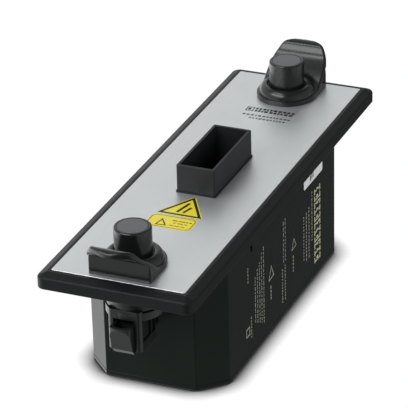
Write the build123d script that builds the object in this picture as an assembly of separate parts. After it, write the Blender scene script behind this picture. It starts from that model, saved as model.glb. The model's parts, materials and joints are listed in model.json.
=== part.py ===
from build123d import *
from math import cos, radians, sin, tan
import os

# Plug-in adapter module: a flanged panel with two push-button latches on a tall casing.
# Millimetres. +X is the short way across the panel, +Y the long way, +Z up.
# The origin is at the middle of the base, so the top of the front plate is at PLATE_TOP.

# ---- driving dimensions ----
PLATE_W = 70.0
PLATE_L = 245.0
PLATE_EDGE_BREAK = 0.1
PLATE_T = 2.0
RIM_SIDE = 6.0
RIM_END = 6.5
RIM_CORNER = 4.5
RIM_DROP = 1.9
FLANGE_T = 8.2
PLATE_PROUD = 0.2
CASING_W = 74.7
CASING_L = 175.5
CASING_CUT = 13.0
CASING_DRAFT = 0.2
CASING_WALL = 2.5
BASE_T = 2.5
CASING_DEPTH = 67.2

PLUG_W = 17.7
PLUG_L = 47.6
COLLAR_W = 20.9
COLLAR_L = 50.9
COLLAR_H = 15.1
COLLAR_FOOT = 0.5
SHROUD_DEPTH = 30.0

LATCH_Y = 102.6
FOOT_R = 16.3
FOOT_T = 2.6
GRIP_END = 17.3
LIP_END = 31.5
WALL_TOP = 10.0
LIP_TOP = 19.4
LIP_LOW = 17.7
KNOB_R = 9.4
KNOB_TOP = 20.3
BUTTON_TRAVEL = 6.0

# ---- levels and sizes worked out from them ----
FLANGE_Z = CASING_DEPTH
PLATE_TOP = FLANGE_Z + FLANGE_T
RIM_TOP = PLATE_TOP - PLATE_PROUD
SEAT_Z = PLATE_TOP - PLATE_T
FRAME_W = PLATE_W + 2 * RIM_SIDE
FRAME_L = PLATE_L + 2 * RIM_END
INNER_W = CASING_W - 2 * CASING_WALL
SHROUD_W = COLLAR_W - 0.6
SHROUD_L = COLLAR_L - 0.6
SHROUD_Z = PLATE_TOP - SHROUD_DEPTH
OPENING_W = SHROUD_W + 0.4
OPENING_L = SHROUD_L + 0.4

# ---- fasteners and fits ----
FIT = 0.1
SEAM = 0.2
LATCH_SCREW_X = 12.1
LATCH_SCREW_R = 1.1
LATCH_HOLE_R = 10.0
CASING_SCREWS = [(x, y) for x in (-18, 18) for y in (-81, 81)]
BASE_SCREWS = [(x, y) for x in (-26.5, 26.5) for y in (-77.5, 77.5)]
BOARD_SCREWS = [(x, y) for x in (-24, 24) for y in (-66, 66)]
CONTACT_POSTS = [(x, y) for x in (-14.6, 14.6) for y in (-18, 18)]
SNAPS = [(side, y) for side in (-1, 1) for y in (-44.5, 44.5)]
SCREW_R = 1.25
SCREW_HEAD_R = 2.7

# ---- circuit board and its connector ----
BOARD_W = 58.0
BOARD_L = 150.0
BOARD_Z = 16.0
BOARD_T = 1.6
DOCK_W = 44.0
DOCK_L = 14.0
DOCK_GAP = 0.3
DOCK_PINS = [(4.5 * (i - 3.5), y) for i in range(8) for y in (-2, 2)]
PIN_R = 0.5
CONTACT_Y = 16.0
LEAF_T = 0.8


# ---- helpers ----
def block(x, y, z):
    """A box from its lowest and highest x, y and z."""
    size = [high - low for low, high in (x, y, z)]
    middle = [(high + low) / 2 for low, high in (x, y, z)]
    return Pos(*middle) * Box(*size)


def disc(radius, z, x=0.0, y=0.0):
    """A vertical cylinder between two levels."""
    return Pos(x, y, (z[0] + z[1]) / 2) * Cylinder(radius, z[1] - z[0])


def discs(places, radius, z):
    """The same vertical cylinder at several places."""
    return [disc(radius, z, x, y) for x, y in places]


def slab(width, length, radius, z):
    """A rounded rectangle extruded between two levels."""
    return extrude(Pos(0, 0, z[0]) * RectangleRounded(width, length, radius), z[1] - z[0])


def cut_rectangle(width, length, cut):
    """A rectangle with its four corners cut off at 45 degrees."""
    w, l = width / 2, length / 2
    corner = [(w - cut, l), (w, l - cut)]
    quadrants = corner + [(x, -y) for x, y in reversed(corner)]
    points = quadrants + [(-x, y) for x, y in reversed(quadrants)]
    return make_face(Polyline(*points, close=True))


def prism(points, x):
    """An outline of (y, z) points, pulled out along X between two places."""
    outline = make_face(Polyline(*[(x[0], y, z) for y, z in points], close=True))
    return extrude(outline, x[1] - x[0], dir=(1, 0, 0))


def ring_edges(part, z, radius):
    """The circular edges of one radius at one level."""
    circles = part.edges().filter_by(GeomType.CIRCLE)
    return circles.filter_by(lambda e: abs(e.center().Z - z) < 0.01 and abs(e.radius - radius) < 0.01)


def is_level(edge, z):
    """True where an edge lies flat in one level."""
    box = edge.bounding_box()
    return abs(box.min.Z - z) < 0.01 and abs(box.max.Z - z) < 0.01


def level_edges(part, z):
    """The edges that lie in one level."""
    return part.edges().filter_by(lambda edge: is_level(edge, z))


def outer_edges(part, z, width, length):
    """The outline edges of a rounded rectangle at one level, without anything cut inside it."""
    def is_outer(edge):
        reach = max(abs(edge.center().X) / (width / 2), abs(edge.center().Y) / (length / 2))
        return reach > 0.97
    return level_edges(part, z).filter_by(is_outer)


def pan_screws(places, head_z, shank_z, radius=SCREW_R, head_r=SCREW_HEAD_R):
    """Pan-head screws with a cross recess, heads at head_z, shanks along shank_z."""
    screws = []
    for x, y in places:
        head = disc(head_r, head_z, x, y)
        below = head_z[0] < shank_z[0]
        face_z = head_z[0] if below else head_z[1]
        head = fillet(ring_edges(head, face_z, head_r), 0.5)
        screw = head + disc(radius, shank_z, x, y)
        depth = (head_z[1] - head_z[0]) * 0.55
        slot_z = (face_z - 0.1, face_z + depth) if below else (face_z - depth, face_z + 0.1)
        arm = head_r * 0.55
        screw -= block((x - arm, x + arm), (y - 0.3, y + 0.3), slot_z)
        screw -= block((x - 0.3, x + 0.3), (y - arm, y + arm), slot_z)
        screws.append(screw)
    return Compound(children=screws)


# ---- front panel ----
def front_frame():
    """The black flange: a bevelled rim round a seat for the plate, with two clip rails below."""
    body = slab(FRAME_W, FRAME_L, RIM_CORNER, (FLANGE_Z, RIM_TOP))
    body = chamfer(outer_edges(body, RIM_TOP, FRAME_W, FRAME_L), RIM_DROP, 4.4)
    body = fillet(outer_edges(body, RIM_TOP - RIM_DROP, FRAME_W, FRAME_L), 1.4)
    body = fillet(outer_edges(body, FLANGE_Z, FRAME_W, FRAME_L), 0.6)
    body -= slab(PLATE_W + 0.2, PLATE_L + 0.2, 1.0, (SEAT_Z, PLATE_TOP))
    body -= slab(OPENING_W, OPENING_L, 1.2, (FLANGE_Z - 1, PLATE_TOP))
    for y in (-LATCH_Y, LATCH_Y):
        body -= disc(LATCH_HOLE_R, (FLANGE_Z - 1, PLATE_TOP), 0, y)
        for x in (-LATCH_SCREW_X, LATCH_SCREW_X):
            body -= disc(LATCH_SCREW_R + FIT, (FLANGE_Z - 1, PLATE_TOP), x, y)
    for hole in discs(CASING_SCREWS, SCREW_R, (FLANGE_Z - 1, FLANGE_Z + 5)):
        body -= hole
    rail_x = INNER_W / 2 - 0.15
    for side in (-1, 1):
        rail = sorted((side * (rail_x - 1.8), side * rail_x))
        body += block(rail, (-60, 60), (FLANGE_Z - 3, FLANGE_Z))
    for side, y in SNAPS:
        tongue = sorted((side * (rail_x - 1.8), side * rail_x))
        nib = sorted((side * rail_x, side * (rail_x + 1.6)))
        body += block(tongue, (y - 3, y + 3), (FLANGE_Z - 9, FLANGE_Z))
        body += block(nib, (y - 0.9, y + 0.9), (FLANGE_Z - 7.6, FLANGE_Z - 4.0))
    for post in discs(CONTACT_POSTS, 3.0, (SHROUD_Z, FLANGE_Z)):
        body += post
    for hole in discs(CONTACT_POSTS, SCREW_R, (SHROUD_Z - 1, SHROUD_Z + 8)):
        body -= hole
    return body


def front_plate():
    """The aluminium plate, with openings for the collar and both latches."""
    plate = slab(PLATE_W, PLATE_L, 0.8, (SEAT_Z, PLATE_TOP))
    plate = chamfer(outer_edges(plate, PLATE_TOP, PLATE_W, PLATE_L), PLATE_EDGE_BREAK)
    plate -= slab(OPENING_W, OPENING_L, 1.2, (SEAT_Z - 1, PLATE_TOP + 1))
    for y in (-LATCH_Y, LATCH_Y):
        plate -= disc(LATCH_HOLE_R, (SEAT_Z - 1, PLATE_TOP + 1), 0, y)
        for x in (-LATCH_SCREW_X, LATCH_SCREW_X):
            plate -= disc(LATCH_SCREW_R + FIT, (SEAT_Z - 1, PLATE_TOP + 1), x, y)
    return plate


def plug_collar():
    """The rectangular socket collar: a wall above the plate, a lip on it and a shroud below it."""
    collar_top = PLATE_TOP + COLLAR_H
    collar = slab(COLLAR_W, COLLAR_L, 1.0, (PLATE_TOP, collar_top))
    collar = fillet(level_edges(collar, collar_top), 0.35)
    foot_w, foot_l = COLLAR_W + 2 * COLLAR_FOOT, COLLAR_L + 2 * COLLAR_FOOT
    collar += slab(foot_w, foot_l, 1.2, (PLATE_TOP, PLATE_TOP + 0.7))
    collar += slab(SHROUD_W, SHROUD_L, 1.0, (SHROUD_Z, PLATE_TOP))
    collar -= slab(PLUG_W, PLUG_L, 0.5, (SHROUD_Z - 1, collar_top + 1))
    hook_y = SHROUD_L / 2
    for side in (-1, 1):
        heel = (side * (hook_y - 0.1), FLANGE_Z - 0.1)
        toe = (side * (hook_y + 0.8), FLANGE_Z - 0.1)
        tail = (side * (hook_y - 0.1), FLANGE_Z - 2.2)
        collar += prism([heel, toe, tail], (-4, 4))
    return collar


# ---- casing ----
def casing():
    """The tall black box, a little wider at the top, with 45 degree corners and open at both ends."""
    outline = fillet(cut_rectangle(CASING_W, CASING_L, CASING_CUT).vertices(), 0.8)
    body = extrude(Pos(0, 0, BASE_T) * outline, FLANGE_Z - BASE_T, taper=-CASING_DRAFT)
    body = chamfer(level_edges(body, BASE_T), SEAM)
    inner_cut = CASING_CUT - CASING_WALL * (2 - 2 ** 0.5)
    inner = cut_rectangle(INNER_W, CASING_L - 2 * CASING_WALL, inner_cut)
    inside = extrude(Pos(0, 0, BASE_T - 1) * inner, FLANGE_Z)
    body -= inside
    for x, y in BASE_SCREWS:
        post = disc(4.2, (BASE_T, BASE_T + 11), x, y) & inside
        body += post - disc(SCREW_R, (BASE_T - 1, BASE_T + 12), x, y)
    for x, y in CASING_SCREWS:
        wall_y = CASING_L / 2 - CASING_WALL
        ear_y = (77, wall_y) if y > 0 else (-wall_y, -77)
        ear = block((x - 4.5, x + 4.5), ear_y, (FLANGE_Z - 3, FLANGE_Z))
        body += ear - disc(SCREW_R + 0.3, (FLANGE_Z - 4, FLANGE_Z + 1), x, y)
    for side, y in SNAPS:
        window = sorted((side * (INNER_W / 2 - 1), side * (CASING_W / 2 + 1)))
        body -= block(window, (y - 1.1, y + 1.1), (FLANGE_Z - 8.0, FLANGE_Z - 3.6))
    return body


def base_cover():
    """The bottom plate: flush with the casing, with two locating rails and four board posts."""
    outline = fillet(cut_rectangle(CASING_W, CASING_L, CASING_CUT).vertices(), 0.8)
    cover = extrude(outline, BASE_T)
    cover = chamfer(level_edges(cover, BASE_T), SEAM)
    cover = fillet(level_edges(cover, 0), 0.6)
    for x in (-INNER_W / 2 + 0.15, INNER_W / 2 - 1.65):
        cover += block((x, x + 1.5), (-60, 60), (BASE_T, BASE_T + 2.5))
    for post in discs(BOARD_SCREWS, 3.2, (BASE_T, BOARD_Z)):
        cover += post
    for hole in discs(BOARD_SCREWS, SCREW_R, (BASE_T + 3, BOARD_Z + 1)):
        cover -= hole
    half_w, half_l = DOCK_W / 2 + DOCK_GAP, DOCK_L / 2 + DOCK_GAP
    cover -= block((-half_w, half_w), (-half_l, half_l), (-1, BASE_T + 1))
    for x, y in BASE_SCREWS:
        cover -= disc(SCREW_R + 0.3, (-1, BASE_T + 1), x, y)
        cover -= Pos(x, y, 0.75) * Cone(3.0, 1.5, 1.5)
    return cover


def base_screws():
    """Four countersunk screws through the base cover into the casing posts."""
    screws = []
    for x, y in BASE_SCREWS:
        screw = Pos(x, y, 0.95) * Cone(2.75, SCREW_R, 1.5)
        screw += disc(SCREW_R, (1.0, BASE_T + 9), x, y)
        screw -= block((x - 1.5, x + 1.5), (y - 0.3, y + 0.3), (0, 0.95))
        screw -= block((x - 0.3, x + 0.3), (y - 1.5, y + 1.5), (0, 0.95))
        screws.append(screw)
    return Compound(children=screws)


# ---- labels ----
def hazard_triangle():
    """A thin yellow foil triangle on the plate."""
    height = 25.4 * 3 ** 0.5 / 2
    corners = [(-12.7, 0), (12.7, 0), (0, height)]
    outline = make_face(Polyline(*[(x + 1.0, y - 49.6, PLATE_TOP) for x, y in corners], close=True))
    outline = fillet(outline.vertices(), 1.2)
    return extrude(outline, 0.12)


def hazard_strip():
    """A thin yellow foil strip below the triangle, its corners cut off."""
    outline = chamfer(Rectangle(24.6, 13.0).vertices(), 2.2)
    return extrude(Pos(0.2, -57.4, PLATE_TOP) * outline, 0.12)


def side_sticker():
    """A blank white foil high on the side wall, close under the flange."""
    drop = 4.9
    lean = radians(CASING_DRAFT)
    wall_x = CASING_W / 2 + (FLANGE_Z - BASE_T - drop) * tan(lean)
    wall = Plane(origin=(wall_x, 42.5, FLANGE_Z - drop), x_dir=(0, 1, 0), z_dir=(cos(lean), 0, -sin(lean)))
    return extrude(wall * RectangleRounded(27.0, 8.4, 1.2), 0.12)


# ---- socket contacts, board and docking connector ----
def contact_base():
    """The insulating block that closes the shroud and holds both contact clips."""
    base = slab(PLUG_W - 0.2, PLUG_L - 0.2, 0.4, (SHROUD_Z, SHROUD_Z + 6))
    base += slab(35.4, 44, 2.0, (SHROUD_Z - 4, SHROUD_Z))
    base += slab(SHROUD_W, SHROUD_L, 1.0, (SHROUD_Z - 14, SHROUD_Z))
    for y in (-CONTACT_Y, CONTACT_Y):
        base -= block((-3.5, 3.5), (y - 3.2, y + 3.2), (SHROUD_Z - 15, SHROUD_Z + 4))
        base -= block((-3.2, 3.2), (y - 1.1, y + 1.1), (SHROUD_Z + 3, SHROUD_Z + 7))
    for hole in discs(CONTACT_POSTS, SCREW_R + 0.2, (SHROUD_Z - 5, SHROUD_Z + 1)):
        base -= hole
    return base


def contact_clip(y):
    """A sprung fork that grips one blade of the plug, on a tail soldered into the board."""
    fork_z = SHROUD_Z - 14
    leaf = [(0, 0.4), (1.3, 0.4), (2.3, 1.8), (2.3, 10.5), (0.55, 15.6), (1.4, 17.6)]
    path = [(-w, h) for w, h in reversed(leaf[1:])] + leaf[1:]
    line = Polyline(*[(w, h, 0) for w, h in path])
    fork = extrude(trace(line, LEAF_T), 6.0)
    fork = Pos(3.0, y, fork_z) * Rot(0, 0, 90) * Rot(90, 0, 0) * fork
    fork = Pos(-fork.center().X, 0, 0) * fork
    stem = block((-2, 2), (y - LEAF_T / 2, y + LEAF_T / 2), (BOARD_Z + BOARD_T + 1.4, fork_z + 0.4))
    tail = block((-1.2, 1.2), (y - LEAF_T / 2, y + LEAF_T / 2), (BOARD_Z - 1.2, BOARD_Z + BOARD_T + 1.5))
    return fork + stem + tail


def circuit_board():
    """The board between the socket contacts and the docking connector."""
    board = extrude(Pos(0, 0, BOARD_Z) * chamfer(Rectangle(BOARD_W, BOARD_L).vertices(), 4.0), BOARD_T)
    for hole in discs(BOARD_SCREWS, SCREW_R + 0.2, (BOARD_Z - 1, BOARD_Z + 3)):
        board -= hole
    for hole in discs(DOCK_PINS, PIN_R + 0.05, (BOARD_Z - 1, BOARD_Z + 3)):
        board -= hole
    for y in (-CONTACT_Y, CONTACT_Y):
        board -= block((-1.4, 1.4), (y - 0.6, y + 0.6), (BOARD_Z - 1, BOARD_Z + 3))
    return board


def test_relays():
    """Two sealed relays that switch the test voltage to the contacts."""
    relays = []
    for y in (-45, 45):
        body = block((-8, 8), (y - 10, y + 10), (BOARD_Z + BOARD_T, BOARD_Z + BOARD_T + 12))
        rounded = body.edges().filter_by(Axis.Z) + level_edges(body, BOARD_Z + BOARD_T + 12)
        relays.append(fillet(rounded, 0.8))
    return Compound(children=relays)


def coding_chip():
    """The small memory chip that tells the tester which adapter is plugged in."""
    z = BOARD_Z + BOARD_T
    chip = block((20, 24), (-2.5, 2.5), (z + 0.2, z + 1.8))
    for y in (-1.9, -0.63, 0.63, 1.9):
        chip += block((19, 25), (y - 0.2, y + 0.2), (z, z + 0.5))
    return chip


def docking_connector():
    """The connector housing that meets the tester through the base."""
    housing = block((-DOCK_W / 2, DOCK_W / 2), (-DOCK_L / 2, DOCK_L / 2), (0.4, BOARD_Z))
    housing = fillet(housing.edges().filter_by(Axis.Z), 1.2)
    housing -= block((-19, 19), (-4.2, 4.2), (0, 9))
    for hole in discs(DOCK_PINS, PIN_R, (8, BOARD_Z + 1)):
        housing -= hole
    return housing


def docking_pins():
    """Sixteen round pins in two rows, with pointed tips."""
    pins = []
    for x, y in DOCK_PINS:
        pin = disc(PIN_R, (1.6, BOARD_Z + BOARD_T + 0.8), x, y)
        pins.append(chamfer(ring_edges(pin, 1.6, PIN_R), 0.3))
    return Compound(children=pins)


# ---- latches, modelled at +Y and turned half round for the front one ----
U0 = LATCH_Y
CUP_Z = PLATE_TOP - 20.0
CUP_R = 14.25
CUP_FLOOR = 3.0
STEM_R = 3.0
CHEEK_X = 8.8
CHEEK_GAP = 5.7
BOLT_X = 5.4
BOLT_TOP = PLATE_TOP - 26.0
BOLT_BOTTOM = PLATE_TOP - 42.0
BOLT_NOSE = 21.0
BOLT_WALL = 1.3
CARRIER_END = 14.4
CARRIER_BACK = -3.2
CARRIER_BOTTOM = PLATE_TOP - 41.0
CAM_LINE = PLATE_TOP - 32.0
LUG_BACK = -14.2
LUG_T = 1.6
SLOT_TOP = CUP_Z - 4.0
RECESSES = [(2.4, 12.0), (-2.4, 1.4)]
PEG = 1.4
SPRING_SEAT = PLATE_TOP + 4.0
BUTTON_COIL_R = 5.6
BUTTON_WIRE = 0.9
BOLT_COIL_R = 2.4
BOLT_WIRE = 0.45


def at(points):
    """Turns (outward, height above plate) points into (y, z)."""
    return [(U0 + u, PLATE_TOP + h) for u, h in points]


def tab_profile():
    """The side view of the finger tab: a sheet that rises to a crest and ends in a lip."""
    start = -FOOT_R - 1
    rise = [(1.0, FOOT_T), (7.4, 4.3), (10.6, 6.8), (14.4, 9.8), (18.9, 13.1), (22.0, 16.0)]
    crest = [(23.8, 18.6), (25.2, 19.9), (26.8, 20.4), (LIP_END, LIP_TOP)]
    top = Spline([(start, *p) for p in at(rise + crest)], tangents=[(0, 1, 0), (0, 1, -0.3)])
    edge = Polyline(*[(start, *p) for p in at([crest[-1], (LIP_END, LIP_LOW), (29.2, LIP_LOW)])])
    lower_side = at([(29.2, LIP_LOW), (25.8, 16.8), (21.4, 12.6), (GRIP_END, WALL_TOP)])
    under = Spline([(start, *p) for p in lower_side],
                   tangents=[(0, -1, 0), (0, -1, -0.6)])
    low = [(GRIP_END, WALL_TOP), (GRIP_END, 0), (0, 0), (0, FOOT_T), rise[0]]
    base = Polyline(*[(start, *p) for p in at(low)])
    return make_face([top, edge, under, base])


def grip_tab():
    """The finger tab: its side view, cut to a bowed lip and leaning flanks, with a rounded rim."""
    tab = extrude(tab_profile(), 2 * FOOT_R + 2, dir=(1, 0, 0))

    bow = [(FOOT_R, 16.0), (15.6, 19.0), (14.8, 21.2), (13.9, 23.0)]
    bow += [(12.4, 24.9), (10.2, 26.7), (6.6, 28.6), (0, 30.6)]
    bow += [(-x, u) for x, u in reversed(bow[:-1])]
    arch = [Spline([(x, U0 + u) for x, u in bow], tangents=[(0, 1), (0, -1)])]
    arch.append(Polyline(*[(x, U0 + u) for x, u in (bow[-1], (-FOOT_R, -1.0), (FOOT_R, -1.0), bow[0])]))
    tab &= extrude(make_face(arch), 2 * PLATE_TOP)

    flank = [(FOOT_R, 5.0), (15.8, 10.0), (14.8, 15.0), (13.5, 20.6)]
    sides = Spline([(x, 0, PLATE_TOP + h) for x, h in flank], tangents=[(0, 0, 1), (-0.3, 0, 1)])
    foot_x, foot_h = flank[0]
    head_x, head_h = flank[-1]
    front = [sides, sides.mirror(Plane.YZ)]
    front.append(Line((head_x, 0, PLATE_TOP + head_h), (-head_x, 0, PLATE_TOP + head_h)))
    feet = [(foot_x, foot_h), (foot_x, -1.0), (-foot_x, -1.0), (-foot_x, foot_h)]
    front.append(Polyline(*[(x, 0, PLATE_TOP + h) for x, h in feet]))
    tab &= extrude(make_face(front), 2 * U0, dir=(0, 1, 0))

    scoop = tab.faces().filter_by(lambda face: face.normal_at().Z > 0.3).sort_by(SortBy.AREA)[-1]
    rim = scoop.edges().filter_by(lambda edge: edge.geom_type != GeomType.LINE)
    tab = fillet(rim, 1.2)

    turn = 0.8
    for side in (-1, 1):
        corner_x = side * (FOOT_R - turn)
        corner = block(sorted((corner_x, side * (FOOT_R + 1))),
                       (U0 + GRIP_END - turn, U0 + GRIP_END + 1), (PLATE_TOP - 1, PLATE_TOP + WALL_TOP - 0.6))
        tab -= corner - disc(turn, (0, 2 * PLATE_TOP), corner_x, U0 + GRIP_END - turn)
    return tab


def latch_grip():
    """The moulded grip: foot, low dome round the button and finger tab, with the button bore."""
    heel = Pos(0, GRIP_END / 2) * Rectangle(2 * FOOT_R, GRIP_END)
    heel = fillet(heel.vertices().group_by(Axis.Y)[-1], 0.8)
    foot = extrude(Pos(0, U0, PLATE_TOP) * (Circle(FOOT_R) + heel), FOOT_T)
    foot = fillet(level_edges(foot, PLATE_TOP + FOOT_T), 0.5)
    dome_top = [(15.2, 2.4), (14.9, 3.9), (13.9, 5.8), (12.3, 7.0), (10.9, 7.0), (9.9, 6.2)]
    crown = Spline([(r, 0, PLATE_TOP + h) for r, h in dome_top])
    hidden = (dome_top[-1], (8.0, 6.2), (8.0, 0), (15.2, 0), dome_top[0])
    inner = Polyline(*[(r, 0, PLATE_TOP + h) for r, h in hidden])
    dome = Pos(0, U0, 0) * revolve(make_face([crown, inner]), Axis.Z)
    grip = foot + dome + grip_tab()
    grip -= disc(KNOB_R + 0.3, (PLATE_TOP - 1, PLATE_TOP + 30), 0, U0)
    for x in (-LATCH_SCREW_X, LATCH_SCREW_X):
        grip -= disc(LATCH_SCREW_R, (PLATE_TOP - 1, PLATE_TOP + 4.5), x, U0)
    return grip


def spring_peg(start, end):
    """A round peg along Y that centres one end of the bolt spring."""
    middle = Pos(0, U0 + (start + end) / 2, CAM_LINE - 4.2)
    return middle * Rot(90, 0, 0) * Cylinder(1.6, end - start)


def latch_carrier():
    """The housing below the flange: a spring cup, two grooved cheeks and a rear spring lug."""
    body = disc(CUP_R, (CUP_Z, FLANGE_Z), 0, U0)
    body = fillet(ring_edges(body, CUP_Z, CUP_R), 0.8)
    front_half = block((-CUP_R - 1, CUP_R + 1), (U0, U0 + CUP_R + 1), (SLOT_TOP - 0.4, CUP_Z - 0.4))
    body += disc(CUP_R + 0.4, (SLOT_TOP - 0.4, CUP_Z - 0.4), 0, U0) & front_half
    body -= disc(LATCH_HOLE_R, (CUP_Z + CUP_FLOOR, FLANGE_Z + 1), 0, U0)
    reach = (U0 + CARRIER_BACK, U0 + CARRIER_END)
    cheeks = block((-CHEEK_X, CHEEK_X), reach, (CARRIER_BOTTOM, CUP_Z + 1.0))
    front_corners = cheeks.edges().filter_by(Axis.Z).group_by(Axis.Y)[-1]
    body += fillet(front_corners, 2.2)
    body -= block((-CHEEK_GAP, CHEEK_GAP), (reach[0] - 1, reach[1] + 1), (CARRIER_BOTTOM - 1, SLOT_TOP))
    for side in (-1, 1):
        groove = sorted((side * (CHEEK_GAP - 0.5), side * (CHEEK_GAP + 1.2)))
        body -= block(groove, (reach[0] - 1, U0 + 8.3), (CAM_LINE - 1.6, CAM_LINE + 2.0))
        recess = sorted((side * (CHEEK_X - 1.2), side * (CHEEK_X + 1)))
        for back, front in RECESSES:
            body -= block(recess, (U0 + back, U0 + front), (CARRIER_BOTTOM + 4.5, SLOT_TOP - 0.4))
        body -= disc(1.9, (SLOT_TOP - 1, CUP_Z + 2.4), side * LATCH_SCREW_X, U0)
        body -= disc(LATCH_SCREW_R + FIT, (CUP_Z - 1, FLANGE_Z + 1), side * LATCH_SCREW_X, U0)
    back = U0 + LUG_BACK
    body += block((-4.2, 4.2), (back, reach[0] + 1), (SLOT_TOP, CUP_Z + 1.0))
    body += block((-4.2, 4.2), (back, back + LUG_T), (CARRIER_BOTTOM, CUP_Z))
    body += spring_peg(LUG_BACK + LUG_T - 0.1, LUG_BACK + LUG_T + PEG)
    body -= disc(CHEEK_GAP - 0.2, (SLOT_TOP - 1, CUP_Z), 0, U0)
    body -= disc(STEM_R + 0.05, (CUP_Z - 1, CUP_Z + CUP_FLOOR + 1), 0, U0)
    return body


def latch_screws():
    """Two long screws that clamp the plate and the flange between carrier and grip."""
    places = [(x, U0) for x in (-LATCH_SCREW_X, LATCH_SCREW_X)]
    head_z = (CUP_Z + 0.6, CUP_Z + 2.4)
    return pan_screws(places, head_z, (head_z[1] - 0.1, PLATE_TOP + 4.4), LATCH_SCREW_R, 1.8)


def push_button():
    """The knob and its stem, whose slanted end is the cam that draws the bolt in."""
    knob_z = (PLATE_TOP - 1.0, PLATE_TOP + KNOB_TOP)
    knob = disc(KNOB_R, knob_z, 0, U0)
    knob = fillet(ring_edges(knob, knob_z[1], KNOB_R), 1.0)
    knob -= disc(7.85, (knob_z[1] - 0.8, knob_z[1] + 1), 0, U0)
    knob -= disc(7.6, (knob_z[0] - 1, SPRING_SEAT), 0, U0)
    stem = disc(STEM_R, (CAM_LINE - 3.0, SPRING_SEAT + 0.5), 0, U0)
    slope = CAM_LINE + 0.05
    cam = prism([(U0 - 9, slope + 9), (U0 - 9, slope - 9), (U0 + 9, slope - 9)], (-5, 5))
    stem -= cam
    clip_z = (CUP_Z - 1.0, CUP_Z - 0.1)
    stem -= disc(STEM_R + 1, clip_z, 0, U0) - disc(STEM_R - 0.7, clip_z, 0, U0)
    return knob + stem


def button_cap():
    """The grey disc let into the top of the knob."""
    cap_z = (PLATE_TOP + KNOB_TOP - 0.8, PLATE_TOP + KNOB_TOP)
    cap = disc(7.7, cap_z, 0, U0)
    return fillet(ring_edges(cap, cap_z[1], 7.7), 0.3)


def stem_clip():
    """The open retaining ring below the cup floor that stops the button at the top."""
    clip_z = (CUP_Z - 0.95, CUP_Z - 0.15)
    clip = disc(5.0, clip_z, 0, U0) - disc(STEM_R - 0.7, clip_z, 0, U0)
    return clip - block((-1.5, 1.5), (U0, U0 + 6), (clip_z[0] - 1, clip_z[1] + 1))


def coil(radius, wire, length, turns):
    """A round compression spring along +Z from the origin, with its wire ends left open."""
    pitch = (length - wire) / turns
    path = Helix(pitch, pitch * turns, radius)
    start = Plane(origin=path @ 0, z_dir=path % 0)
    return Pos(0, 0, wire / 2) * sweep(start * Circle(wire / 2), path=path, is_frenet=True)


def button_spring():
    """The spring that lifts the button, round the stem between cup floor and knob."""
    floor = CUP_Z + CUP_FLOOR
    return Pos(0, U0, floor) * coil(BUTTON_COIL_R, BUTTON_WIRE, SPRING_SEAT - floor, 7)


def bow_front(half, reach, low_z, high_z):
    """A block from the bolt's back to a bowed front with rounded corners."""
    corner = reach - 1.0
    bow = ThreePointArc((half, U0 + corner), (0, U0 + reach), (-half, U0 + corner))
    around = ((-half, corner), (-half, -3.0), (half, -3.0), (half, corner))
    sides = Polyline(*[(x, U0 + u) for x, u in around])
    plan = make_face([bow, sides])
    plan = fillet(plan.vertices().group_by(Axis.Y)[-1], 1.2)
    return extrude(Pos(0, 0, low_z) * plan, high_z - low_z)


def latch_bolt():
    """The slam bolt: a hollow bowed nose outside, a cam slope inside and a guide rib on each side."""
    top = BOLT_TOP - PLATE_TOP
    low = BOLT_BOTTOM - PLATE_TOP
    cam = CAM_LINE - PLATE_TOP
    cam_run = STEM_R + BUTTON_TRAVEL
    window = cam_run + 0.6
    pocket = window + BOLT_WALL
    wall_top = top - 2.0
    outline = [(-3.0, low), (-3.0, cam), (0, cam), (cam_run, cam - cam_run), (window, cam - cam_run)]
    outline += [(window, wall_top), (pocket, wall_top), (pocket, top), (BOLT_NOSE + 1, top)]
    outline += [(BOLT_NOSE + 1, top - 0.4), (BOLT_NOSE - 0.5, top - 2.0), (17.2, low + 2.6), (15.0, low)]
    bolt = prism(at(outline), (-BOLT_X, BOLT_X)) & bow_front(BOLT_X, BOLT_NOSE, BOLT_BOTTOM, BOLT_TOP)
    wall_outline = [(-3.0, low), (-3.0, cam), (0, cam), (0, wall_top), (window, wall_top), (window, low)]
    for side in (-1, 1):
        wall = sorted((side * (STEM_R + 0.4), side * BOLT_X))
        bolt += prism(at(wall_outline), wall)
        rib = sorted((side * (BOLT_X - 0.1), side * (CHEEK_GAP + 0.9)))
        bolt += block(rib, (U0 - 3.0, U0 + 8.0), (CAM_LINE - 1.3, CAM_LINE + 1.7))
    hollow = bow_front(BOLT_X - BOLT_WALL, BOLT_NOSE - 2.0, BOLT_TOP - 5.0, BOLT_TOP + 1)
    bolt -= hollow & block((-BOLT_X, BOLT_X), (U0 + pocket, U0 + BOLT_NOSE), (BOLT_BOTTOM, BOLT_TOP + 2))
    return bolt + spring_peg(-3.0 - PEG, -2.9)


def bolt_spring():
    """The spring that pushes the bolt out, between the rear lug and the bolt."""
    start = LUG_BACK + LUG_T
    spring = coil(BOLT_COIL_R, BOLT_WIRE, -3.0 - start, 6)
    return Pos(0, U0 + start, CAM_LINE - 4.2) * Rot(-90, 0, 0) * spring


LATCH_NODES = {
    "latch_grip": latch_grip,
    "latch_carrier": latch_carrier,
    "latch_screws": latch_screws,
    "push_button": push_button,
    "button_cap": button_cap,
    "button_spring": button_spring,
    "stem_clip": stem_clip,
    "latch_bolt": latch_bolt,
    "bolt_spring": bolt_spring,
}


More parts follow.
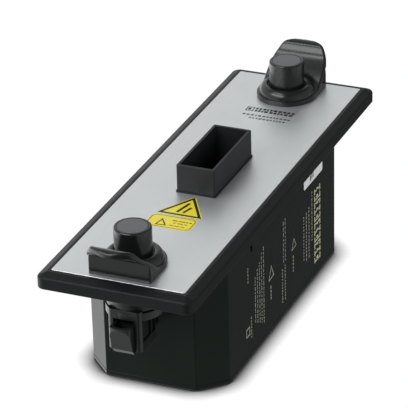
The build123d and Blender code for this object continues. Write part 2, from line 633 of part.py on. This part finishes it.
def all_nodes():
    """Every node of the model by name."""
    nodes = {
        "front_frame": front_frame(),
        "front_plate": front_plate(),
        "plug_collar": plug_collar(),
        "casing": casing(),
        "base_cover": base_cover(),
        "base_screws": base_screws(),
        "casing_screws": pan_screws(
            CASING_SCREWS, (FLANGE_Z - 5, FLANGE_Z - 3), (FLANGE_Z - 3.1, FLANGE_Z + 4.8)
        ),
        "hazard_triangle": hazard_triangle(),
        "hazard_strip": hazard_strip(),
        "side_sticker": side_sticker(),
        "contact_base": contact_base(),
        "contact_base_screws": pan_screws(
            CONTACT_POSTS, (SHROUD_Z - 6, SHROUD_Z - 4), (SHROUD_Z - 4.1, SHROUD_Z + 7)
        ),
        "line_contact": contact_clip(-CONTACT_Y),
        "earth_contact": contact_clip(CONTACT_Y),
        "circuit_board": circuit_board(),
        "board_screws": pan_screws(BOARD_SCREWS, (BOARD_Z + BOARD_T, BOARD_Z + BOARD_T + 2),
                                   (BOARD_Z - 8, BOARD_Z + BOARD_T + 0.1)),
        "test_relays": test_relays(),
        "coding_chip": coding_chip(),
        "docking_connector": docking_connector(),
        "docking_pins": docking_pins(),
    }
    for name, make in LATCH_NODES.items():
        rear = make()
        nodes["rear_" + name] = rear
        nodes["front_" + name] = Rot(0, 0, 180) * rear
    return nodes


os.makedirs("parts", exist_ok=True)
for node, shape in all_nodes().items():
    export_step(shape, f"parts/{node}.step")
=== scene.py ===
import json
import math
import random

import bmesh
import bpy
from mathutils import Matrix, Vector


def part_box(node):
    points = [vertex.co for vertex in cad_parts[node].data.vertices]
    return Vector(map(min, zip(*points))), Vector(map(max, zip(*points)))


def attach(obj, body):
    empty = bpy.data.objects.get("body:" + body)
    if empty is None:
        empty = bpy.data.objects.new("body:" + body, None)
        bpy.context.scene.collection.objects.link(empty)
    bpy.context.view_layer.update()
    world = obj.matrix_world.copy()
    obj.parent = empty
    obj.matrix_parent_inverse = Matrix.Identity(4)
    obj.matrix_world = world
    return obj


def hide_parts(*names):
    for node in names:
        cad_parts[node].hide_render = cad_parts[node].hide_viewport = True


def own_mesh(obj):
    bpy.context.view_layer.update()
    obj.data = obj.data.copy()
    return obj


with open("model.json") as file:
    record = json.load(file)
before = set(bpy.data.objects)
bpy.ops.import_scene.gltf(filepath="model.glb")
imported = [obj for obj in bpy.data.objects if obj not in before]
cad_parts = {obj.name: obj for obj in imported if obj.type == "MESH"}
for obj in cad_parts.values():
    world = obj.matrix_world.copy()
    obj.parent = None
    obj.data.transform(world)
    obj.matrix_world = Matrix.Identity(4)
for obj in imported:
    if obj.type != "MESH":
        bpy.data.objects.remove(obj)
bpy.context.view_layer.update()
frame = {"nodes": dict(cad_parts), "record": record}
nodes = frame["nodes"]
MM = 0.001

# ---- places read from the frame ----
PLATE_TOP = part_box("front_plate")[1].z
WALL_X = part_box("casing")[1].x
FOIL_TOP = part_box("hazard_triangle")[1].z

# ---- camera ----
CAMERA_AZIMUTH = math.radians(23.253)
CAMERA_ELEVATION = math.radians(26.981)
CAMERA_ROLL = math.radians(-1.540)
CAMERA_DISTANCE = 1.48726
CAMERA_ASIDE = -5.934 * MM
CAMERA_RAISED = -15.292 * MM
CAMERA_LENS = 256.40
CAMERA_FARTHEST = 50

# ---- studio: pairs of a direction's part, from -1 to 1, and the brightness there ----
WORLD_COLOR = (0.99, 0.995, 1.0, 1)
WORLD_UPWARD = ((-1.0, 0.9), (0.0, 1.0), (0.3, 1.15), (0.55, 1.0), (0.8, 0.6), (1.0, 0.6))
SIDEWAYS_ABOVE = (
    (-1.0, 0.95), (-0.5, 0.9), (-0.3, 0.85), (0.05, 0.42), (0.4, 0.25), (1.0, 0.6),
)
SIDEWAYS_BELOW = (
    (-1.0, 2.7), (-0.8, 2.4), (-0.5, 0.85), (-0.3, 0.85),
    (0.05, 0.42), (0.3, 0.08), (0.55, 0.08), (0.75, 0.8),
)
HORIZON_LOW = -0.1
HORIZON_HIGH = 0.05

# ---- floor, with a painted contact shadow ----
FLOOR_REACH = 8.0
FLOOR_WALL = 6.0
FLOOR_DROP = 0.2 * MM
# The floor's contact shadow is painted: its glow dims by how much open sky each spot sees within this reach,
# not by lamps.
PAINTED_SHADOW_REACH = 11 * MM
PAINTED_SHADOW_FULL = 0.5  # the share of open sky at which the floor is darkest
FLOOR_DARKEST = 0.02
FLOOR_BRIGHTEST = 1.02
FLOOR_RAYS = 24

# ---- finishes: how much a surface varies, and the sizes of its noise per metre ----
NOISE_LOW = 0.3
NOISE_HIGH = 0.7
CLOUD_SCALE = 35
PLASTIC_GLOSS = (0.9, 1.12)
PLASTIC_SHADE = (0.93, 1.07)
METAL_LINE_SCALE = 2600
METAL_CLOUD_SCALE = 14
METAL_GLOSS = (0.85, 1.2)
METAL_SHADE = (0.985, 1.015)
ALONG_Y = (1, 0.02, 1)
ALONG_Z = (1, 1, 0.05)
EVEN = (1, 1, 1)

# ---- prints: films of ink, and bars in millimetres ----
INK_LIFT = 0.004 * MM
INK_THICKNESS = 0.03 * MM
INK_GRAIN = 0.004 * MM
WALL_CLEARANCE = 20 * MM
SHORTEST_BAR = 0.9
BAR_GAP = (0.5, 0.9)
LEAST_ROOM = 0.8


# ---- camera, lights and floor ----
def add_camera():
    """The camera at the front right, above the panel, turned a little about its own line of sight."""
    az, el = CAMERA_AZIMUTH, CAMERA_ELEVATION
    back = Vector((math.sin(az) * math.cos(el), -math.cos(az) * math.cos(el), math.sin(el)))
    right = Vector((math.cos(az), math.sin(az), 0))
    up = back.cross(right)
    across = math.cos(CAMERA_ROLL) * right + math.sin(CAMERA_ROLL) * up
    upward = math.cos(CAMERA_ROLL) * up - math.sin(CAMERA_ROLL) * right
    camera = bpy.data.objects.new("camera", bpy.data.cameras.new("camera"))
    bpy.context.scene.collection.objects.link(camera)
    turned = Matrix((across, upward, back)).transposed().to_4x4()
    place = Vector((0, 0, PLATE_TOP)) + back * CAMERA_DISTANCE
    place += right * CAMERA_ASIDE + up * CAMERA_RAISED
    camera.matrix_world = Matrix.Translation(place) @ turned
    camera.data.lens = CAMERA_LENS
    camera.data.clip_end = CAMERA_FARTHEST
    bpy.context.scene.camera = camera


def add_softbox(name, place, size, watts, target=(0, 0, 0.05), shine=True):
    """A rectangular soft light that faces a target; without shine it leaves no highlight."""
    data = bpy.data.lights.new(name, "AREA")
    data.shape = "RECTANGLE"
    data.size, data.size_y = size
    data.energy = watts
    light = bpy.data.objects.new(name, data)
    bpy.context.scene.collection.objects.link(light)
    light.location = place
    light.visible_glossy = shine
    light.rotation_euler = (Vector(target) - Vector(place)).to_track_quat("-Z", "Y").to_euler()


def level_ramp(tree, value, steps):
    """Turns one part of a direction, from -1 to 1, into a brightness by straight lines between steps."""
    change = tree.nodes.new("ShaderNodeMapRange")
    change.inputs["From Min"].default_value = -1
    tree.links.new(value, change.inputs["Value"])
    ramp = tree.nodes.new("ShaderNodeValToRGB")
    tree.links.new(change.outputs["Result"], ramp.inputs["Fac"])
    stops = ramp.color_ramp.elements
    while len(stops) < len(steps):
        stops.new(1.0)
    for stop, (part, level) in zip(stops, steps):
        stop.position = (part + 1) / 2
        stop.color = (level, level, level, 1)
    return ramp.outputs["Color"]


def add_world():
    """A pale studio all round, bright at the left and near the horizon, dim overhead and at the right."""
    world = bpy.data.worlds.new("studio")
    bpy.context.scene.world = world
    world.use_nodes = True
    tree = world.node_tree
    coordinates = tree.nodes.new("ShaderNodeTexCoord")
    split = tree.nodes.new("ShaderNodeSeparateXYZ")
    tree.links.new(coordinates.outputs["Generated"], split.inputs[0])
    upward = level_ramp(tree, split.outputs["Z"], WORLD_UPWARD)
    above = level_ramp(tree, split.outputs["X"], SIDEWAYS_ABOVE)
    below = level_ramp(tree, split.outputs["X"], SIDEWAYS_BELOW)
    horizon = tree.nodes.new("ShaderNodeMapRange")
    horizon.inputs["From Min"].default_value = HORIZON_LOW
    horizon.inputs["From Max"].default_value = HORIZON_HIGH
    tree.links.new(split.outputs["Z"], horizon.inputs["Value"])
    sideways = tree.nodes.new("ShaderNodeMix")
    tree.links.new(horizon.outputs["Result"], sideways.inputs["Factor"])
    tree.links.new(below, sideways.inputs["A"])
    tree.links.new(above, sideways.inputs["B"])
    product = tree.nodes.new("ShaderNodeMath")
    product.operation = "MULTIPLY"
    tree.links.new(upward, product.inputs[0])
    tree.links.new(sideways.outputs["Result"], product.inputs[1])
    tree.links.new(product.outputs[0], tree.nodes["Background"].inputs["Strength"])
    tree.nodes["Background"].inputs["Color"].default_value = WORLD_COLOR


def add_floor():
    """A plain pale floor with pale walls far off, glowing evenly, with a painted contact shadow that darkens
    it only close to the object.
    """
    mesh = bpy.data.meshes.new("floor")
    around = [(-1, -1), (1, -1), (1, 1), (-1, 1)]
    corners = [(x * FLOOR_REACH, y * FLOOR_REACH, -FLOOR_DROP) for x, y in around]
    corners += [(x * FLOOR_REACH, y * FLOOR_REACH, FLOOR_WALL) for x, y in around]
    walls = [(i, (i + 1) % 4, (i + 1) % 4 + 4, i + 4) for i in range(4)]
    mesh.from_pydata(corners, [], [(0, 1, 2, 3)] + walls)
    floor = bpy.data.objects.new("floor", mesh)
    bpy.context.scene.collection.objects.link(floor)
    material = bpy.data.materials.new("pale_floor_painted_shadow")
    material.use_nodes = True
    tree = material.node_tree
    tree.nodes.clear()
    # Painted shadow: the glow is dimmed where little open sky is seen within a short reach, so the floor
    # darkens close to the object.
    open_sky = tree.nodes.new("ShaderNodeAmbientOcclusion")
    open_sky.samples = FLOOR_RAYS
    open_sky.inputs["Distance"].default_value = PAINTED_SHADOW_REACH
    level = tree.nodes.new("ShaderNodeMapRange")
    level.inputs["From Min"].default_value = PAINTED_SHADOW_FULL
    level.inputs["To Min"].default_value = FLOOR_DARKEST
    level.inputs["To Max"].default_value = FLOOR_BRIGHTEST
    glow = tree.nodes.new("ShaderNodeEmission")
    output = tree.nodes.new("ShaderNodeOutputMaterial")
    tree.links.new(open_sky.outputs["AO"], level.inputs["Value"])
    tree.links.new(level.outputs["Result"], glow.inputs["Strength"])
    tree.links.new(glow.outputs["Emission"], output.inputs["Surface"])
    mesh.materials.append(material)
    floor.visible_diffuse = False
    floor.visible_glossy = False
    floor.visible_shadow = False


# ---- materials ----
def new_material(name, color, roughness, metallic=0.0, specular=0.5):
    """A material with its main shader, which the caller may refine."""
    material = bpy.data.materials.new(name)
    material.use_nodes = True
    shader = material.node_tree.nodes["Principled BSDF"]
    shader.inputs["Base Color"].default_value = (*color, 1)
    shader.inputs["Roughness"].default_value = roughness
    shader.inputs["Metallic"].default_value = metallic
    shader.inputs["Specular IOR Level"].default_value = specular
    return material, shader


def noise(tree, scale, detail, stretch=EVEN):
    """A noise texture in object space, with its size per metre and a stretch for each axis."""
    coordinates = tree.nodes.new("ShaderNodeTexCoord")
    mapping = tree.nodes.new("ShaderNodeMapping")
    mapping.inputs["Scale"].default_value = stretch
    texture = tree.nodes.new("ShaderNodeTexNoise")
    texture.inputs["Scale"].default_value = scale
    texture.inputs["Detail"].default_value = detail
    tree.links.new(coordinates.outputs["Object"], mapping.inputs["Vector"])
    tree.links.new(mapping.outputs["Vector"], texture.inputs["Vector"])
    return texture.outputs["Fac"]


def spread(tree, value, middle, factors):
    """Maps a noise to a range about a middle value, between two factors of it."""
    change = tree.nodes.new("ShaderNodeMapRange")
    change.inputs["From Min"].default_value = NOISE_LOW
    change.inputs["From Max"].default_value = NOISE_HIGH
    change.inputs["To Min"].default_value = middle * factors[0]
    change.inputs["To Max"].default_value = middle * factors[1]
    tree.links.new(value, change.inputs["Value"])
    return change.outputs["Result"]


def tint(tree, shader, value, color, factors):
    """Varies the base colour between two shades, each a factor of it."""
    dark, light = [[min(1, part * factor) for part in color] for factor in factors]
    ramp = tree.nodes.new("ShaderNodeValToRGB")
    ramp.color_ramp.elements[0].position = NOISE_LOW
    ramp.color_ramp.elements[1].position = NOISE_HIGH
    ramp.color_ramp.elements[0].color = (*dark, 1)
    ramp.color_ramp.elements[1].color = (*light, 1)
    tree.links.new(value, ramp.inputs["Fac"])
    tree.links.new(ramp.outputs["Color"], shader.inputs["Base Color"])


def bump(tree, shader, value, depth):
    """A fine relief of a depth in metres."""
    relief = tree.nodes.new("ShaderNodeBump")
    relief.inputs["Strength"].default_value = 1.0
    relief.inputs["Distance"].default_value = depth
    tree.links.new(value, relief.inputs["Height"])
    tree.links.new(relief.outputs["Normal"], shader.inputs["Normal"])


def plastic(name, color, roughness, specular=0.5, grain=0.02 * MM, grain_scale=2500):
    """Moulded plastic: a fine grain, and a gloss that varies a little over the surface."""
    material, shader = new_material(name, color, roughness, specular=specular)
    tree = material.node_tree
    broad = noise(tree, CLOUD_SCALE, 2)
    tree.links.new(spread(tree, broad, roughness, PLASTIC_GLOSS), shader.inputs["Roughness"])
    tint(tree, shader, broad, color, PLASTIC_SHADE)
    bump(tree, shader, noise(tree, grain_scale, 2), grain)
    return material


def brushed_metal(name, color, roughness, stretch, depth=0.006 * MM, metallic=1.0):
    """Metal with fine straight lines drawn along one axis."""
    material, shader = new_material(name, color, roughness, metallic)
    tree = material.node_tree
    lines = noise(tree, METAL_LINE_SCALE, 3, stretch)
    tree.links.new(spread(tree, lines, roughness, METAL_GLOSS), shader.inputs["Roughness"])
    tint(tree, shader, noise(tree, METAL_CLOUD_SCALE, 2), color, METAL_SHADE)
    bump(tree, shader, lines, depth)
    return material


def ink(name, color, roughness=0.55):
    """A dull film of print."""
    return plastic(name, color, roughness, 0.3, INK_GRAIN)


def green_black():
    """The casing's black, whose gloss is a little green."""
    material = plastic("satin_casing_black", (0.0078, 0.0108, 0.0092), 0.30, 0.10)
    shader = material.node_tree.nodes["Principled BSDF"]
    shader.inputs["Specular Tint"].default_value = (0.80, 1.0, 0.90, 1)
    return material


finishes = {
    "panel_plastic": plastic("satin_black", (0.0085, 0.009, 0.0095), 0.40, 0.12),
    "brushed_plate": brushed_metal("brushed_aluminium", (0.71, 0.735, 0.74), 0.44, ALONG_Y, 0.0012 * MM, 0.9),
    "collar_plastic": plastic("matt_collar_black", (0.014, 0.0145, 0.0165), 0.50, 0.25, 0.03 * MM),
    "casing_plastic": green_black(),
    "latch_plastic": plastic("half_gloss_black", (0.007, 0.008, 0.008), 0.20, 0.42, 0.002 * MM),
    "carrier_plastic": plastic("satin_carrier_black", (0.010, 0.011, 0.011), 0.28, 0.35),
    "button_inlay": plastic("matt_grey_inlay", (0.070, 0.074, 0.078), 0.42, 0.5, 0.03 * MM),
    "hazard_foil": plastic("yellow_foil", (0.72, 0.61, 0.03), 0.34, 0.4, 0.004 * MM),
    "white_foil": plastic("white_foil", (0.90, 0.91, 0.92), 0.36, 0.5, 0.004 * MM),
    "insulator": plastic("grey_insulator", (0.035, 0.035, 0.038), 0.45, 0.4),
    "contact_metal": brushed_metal("tinned_contact", (0.80, 0.76, 0.66), 0.28, ALONG_Z),
    "board_laminate": plastic("green_board", (0.02, 0.16, 0.06), 0.32, 0.5, 0.008 * MM, 900),
    "relay_plastic": plastic("dark_relay_case", (0.05, 0.05, 0.055), 0.4, 0.4),
    "screw_steel": brushed_metal("zinc_screw", (0.62, 0.62, 0.64), 0.32, EVEN),
    "spring_steel": brushed_metal("spring_wire", (0.58, 0.58, 0.60), 0.26, EVEN),
}
black_ink = ink("black_print", (0.012, 0.012, 0.013), 0.5)
grey_ink = ink("light_grey_print", (0.60, 0.59, 0.40))
dim_ink = ink("dim_grey_print", (0.36, 0.36, 0.28))
plate_ink = ink("plate_print", (0.06, 0.063, 0.063), 0.5)
strip_ink = ink("strip_print", (0.07, 0.06, 0.02), 0.5)


def finish_nodes():
    """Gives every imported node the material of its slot."""
    for part in frame["record"]["subparts"]:
        materials = nodes[part["node"]].data.materials
        materials.clear()
        materials.append(finishes[part["material_slot"]])


# ---- printed marks: plain bars and frames, without lettering ----
def rectangle(a0, b0, a1, b1):
    """The four corners of an upright rectangle, in millimetres."""
    return [(a0, b0), (a1, b0), (a1, b1), (a0, b1)]


def bars(low, high, middle, thick, seed, longest=3.0, upright=False):
    """A line of short bars of uneven length between two ends."""
    chooser = random.Random(seed)
    marks = []
    at = low
    while at < high - LEAST_ROOM:
        end = min(at + chooser.uniform(SHORTEST_BAR, longest), high)
        if upright:
            marks.append(rectangle(middle - thick / 2, at, middle + thick / 2, end))
        else:
            marks.append(rectangle(at, middle - thick / 2, end, middle + thick / 2))
        at = end + chooser.uniform(*BAR_GAP)
    return marks


def outline(corners, width):
    """Strips of a width along each side of an outline without dents, inside it."""
    middle = Vector((sum(c[0] for c in corners), sum(c[1] for c in corners))) / len(corners)
    inner = []
    for index, corner in enumerate(corners):
        here = Vector(corner)
        to_next = (Vector(corners[(index + 1) % len(corners)]) - here).normalized()
        to_last = (Vector(corners[index - 1]) - here).normalized()
        half = math.acos(max(-1, min(1, to_next.dot(to_last)))) / 2
        inner.append(here + (to_next + to_last).normalized() * width / math.sin(half))
    count = len(corners)
    return [[corners[i], corners[(i + 1) % count], inner[(i + 1) % count], inner[i]] for i in range(count)]


def on_level(height):
    """Places a mark on a level face."""
    return lambda a, b, lift: Vector((a * MM, b * MM, height + lift))


def on_wall(name):
    """Places a mark on the right-hand face of a piece, where the face is really found."""
    node = nodes[name]
    inward = node.matrix_world.inverted()

    def place(a, b, lift):
        start = inward @ Vector((WALL_X + WALL_CLEARANCE, a * MM, PLATE_TOP + b * MM))
        hit, spot, _, _ = node.ray_cast(start, inward.to_3x3() @ Vector((-1, 0, 0)))
        found = node.matrix_world @ spot if hit else Vector((WALL_X, a * MM, PLATE_TOP + b * MM))
        return found + Vector((lift, 0, 0))
    return place


def add_print(name, ink, marks, place):
    """One sheet of ink: every mark is a film of its own, a few hundredths of a millimetre thick."""
    mesh = bpy.data.meshes.new(name)
    build = bmesh.new()
    for corners in marks:
        under = [build.verts.new(place(a, b, INK_LIFT)) for a, b in corners]
        over = [build.verts.new(place(a, b, INK_THICKNESS)) for a, b in corners]
        build.faces.new(under[::-1])
        build.faces.new(over)
        for index in range(len(corners)):
            after = (index + 1) % len(corners)
            build.faces.new((under[index], under[after], over[after], over[index]))
    bmesh.ops.recalc_face_normals(build, faces=build.faces)
    build.to_mesh(mesh)
    build.free()
    mesh.materials.append(ink)
    sheet = bpy.data.objects.new(name, mesh)
    bpy.context.scene.collection.objects.link(sheet)
    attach(sheet, "module")


def plate_prints():
    """The dark bar row and two fine lines on the plate, and the prints on the yellow foils."""
    top = on_level(PLATE_TOP)
    row = outline(rectangle(-14.0, 76.6, -9.8, 81.4), 0.55)
    row.append(rectangle(-12.9, 77.9, -11.4, 80.2))
    row += bars(-9.0, 14.2, 80.4, 2.1, 3, 2.2) + bars(-8.8, 14.0, 77.7, 2.1, 4, 2.2)
    add_print("plate_bar_row", black_ink, row, top)
    fine = bars(-13.6, 14.4, 72.2, 1.5, 5, 1.8) + bars(-8.6, 12.6, 68.8, 1.5, 8, 1.8)
    add_print("plate_fine_lines", plate_ink, fine, top)
    foil = on_level(FOIL_TOP)
    border = outline([(-10.9, -49.2), (12.9, -49.2), (1.0, -28.6)], 1.4)
    slashes = [
        [(0.4, -35.6), (1.9, -35.4), (-0.7, -46.2), (-2.2, -46.2)],
        [(3.0, -39.6), (4.4, -39.6), (2.6, -46.2), (1.2, -46.2)],
    ]
    add_print("triangle_print", black_ink, border + slashes, foil)
    cut_corners = [
        (-9.4, -63.4), (9.9, -63.4), (11.9, -61.4), (11.9, -53.4),
        (9.9, -51.4), (-9.6, -51.4), (-11.6, -53.4), (-11.6, -61.4),
    ]
    strip = outline(cut_corners, 0.4)
    strip += outline([(-6.8, -62.0), (-0.7, -61.6), (-5.4, -54.6)], 0.75)
    strip += bars(0.2, 10.4, -55.4, 0.8, 12, 4.6) + bars(1.6, 9.0, -57.9, 0.6, 14, 4.2)
    strip += bars(0.4, 9.8, -60.6, 0.6, 16, 4.4)
    add_print("strip_print", strip_ink, strip, foil)


# Fine columns on the wall: where each begins and ends, where it stands, its width, seed and longest bar.
FINE_COLUMNS = (
    (-52.0, -23.0, 40.6, 0.8, 21, 2.4),
    (-60.0, -30.0, 36.2, 0.9, 22, 1.6),
    (-60.0, -30.5, 32.4, 0.9, 23, 1.8),
    (-58.0, -32.0, 28.6, 0.8, 24, 1.4),
    (-44.5, -18.5, 2.0, 0.6, 25, 2.2),
    (-44.5, -20.5, -0.6, 0.6, 26, 2.6),
    (-67.0, -46.5, 1.4, 0.9, 27, 1.2),
    (-67.0, -46.5, -2.4, 0.9, 28, 1.2),
)
STEPPED_COLUMNS = (-28.4, -31.2, -34.0, -37.0, -40.0)
BOLD_MARKS = 11
BOLD_PITCH = 4.05
BOLD_LOWEST = -67.6


def bold_column():
    """Two rows of upright strokes, each pair joined by a cross stroke that steps up and down."""
    marks = []
    for index in range(BOLD_MARKS):
        low = BOLD_LOWEST + index * BOLD_PITCH
        for middle in (44.8, 52.4):
            marks.append(rectangle(middle - 0.55, low, middle + 0.55, low + 3.2))
        step = low + index % 3
        marks.append(rectangle(45.4, step + 0.3, 51.8, step + 1.0))
        marks.append(rectangle(47.4, low + 1.4, 49.8, low + 2.9))
    return marks


def fine_marks():
    """The fine columns, and the small frames with their columns below them."""
    marks = []
    for low, high, middle, thick, seed, longest in FINE_COLUMNS:
        marks += bars(low, high, middle, thick, seed, longest, True)
    for index, middle in enumerate(STEPPED_COLUMNS):
        marks += bars(-65.0 + index * 1.5, -20.0 - index * 3.2, middle, 0.65, 30 + index, 2.6, True)
    marks += bars(-31.5, -23.0, -49.5, 0.8, 40, 1.6, True)
    marks += outline([(10.6, -43.6), (17.6, -43.0), (14.2, -37.2)], 0.55)
    marks += bars(-56.5, -46.0, 13.0, 1.0, 41, 1.8, True)
    marks += outline([(-21.8, -45.0), (-14.2, -44.4), (-18.0, -37.0)], 0.6)
    marks += bars(-56.5, -47.5, -18.6, 1.1, 42, 1.8, True)
    marks += outline(rectangle(-52.6, -61.8, -47.8, -56.8), 0.7)
    marks += bars(-64.6, -52.6, -45.6, 0.8, 43, 1.4, True)
    return marks


def wall_prints():
    """Columns of fine bars down the right-hand wall, and the mark on its white sticker."""
    wall = on_wall("casing")
    add_print("wall_bold_column", grey_ink, bold_column(), wall)
    add_print("wall_fine_columns", dim_ink, fine_marks(), wall)
    dark = [
        rectangle(37.8, -15.6, 39.2, -12.6),
        rectangle(40.0, -15.4, 41.0, -12.4),
        rectangle(41.8, -15.2, 42.8, -12.2),
    ]
    add_print("sticker_print", black_ink, dark, on_wall("side_sticker"))


# ---- springs, copied from their CAD nodes ----
def add_coil(name):
    """A spring that stands for its CAD node: a copy of its mesh that follows the module, with the node
    hidden.
    """
    coil = bpy.data.objects.new(name + "_coil", nodes[name].data.copy())
    bpy.context.scene.collection.objects.link(coil)
    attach(coil, "module")
    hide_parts(name)
    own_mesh(coil)


def add_coils():
    """The button springs stand on their seats, and the bolt springs lean on the latches' inner walls."""
    for end in ("front", "rear"):
        add_coil(end + "_button_spring")
        add_coil(end + "_bolt_spring")


add_camera()
add_world()
add_floor()
add_softbox("key_softbox", place=(-0.50, -0.95, 0.98), size=(1.3, 0.45), watts=11)
add_softbox("overhead_strip", place=(-0.45, -0.50, 1.45), size=(1.0, 0.2), watts=4.5)
add_softbox("right_fill", place=(1.3, -0.2, 0.7), size=(0.8, 0.8), watts=6, shine=False)
finish_nodes()
add_coils()
plate_prints()
wall_prints()

# ---- plain colour view, without tone mapping ----
bpy.context.scene.view_settings.view_transform = "Standard"
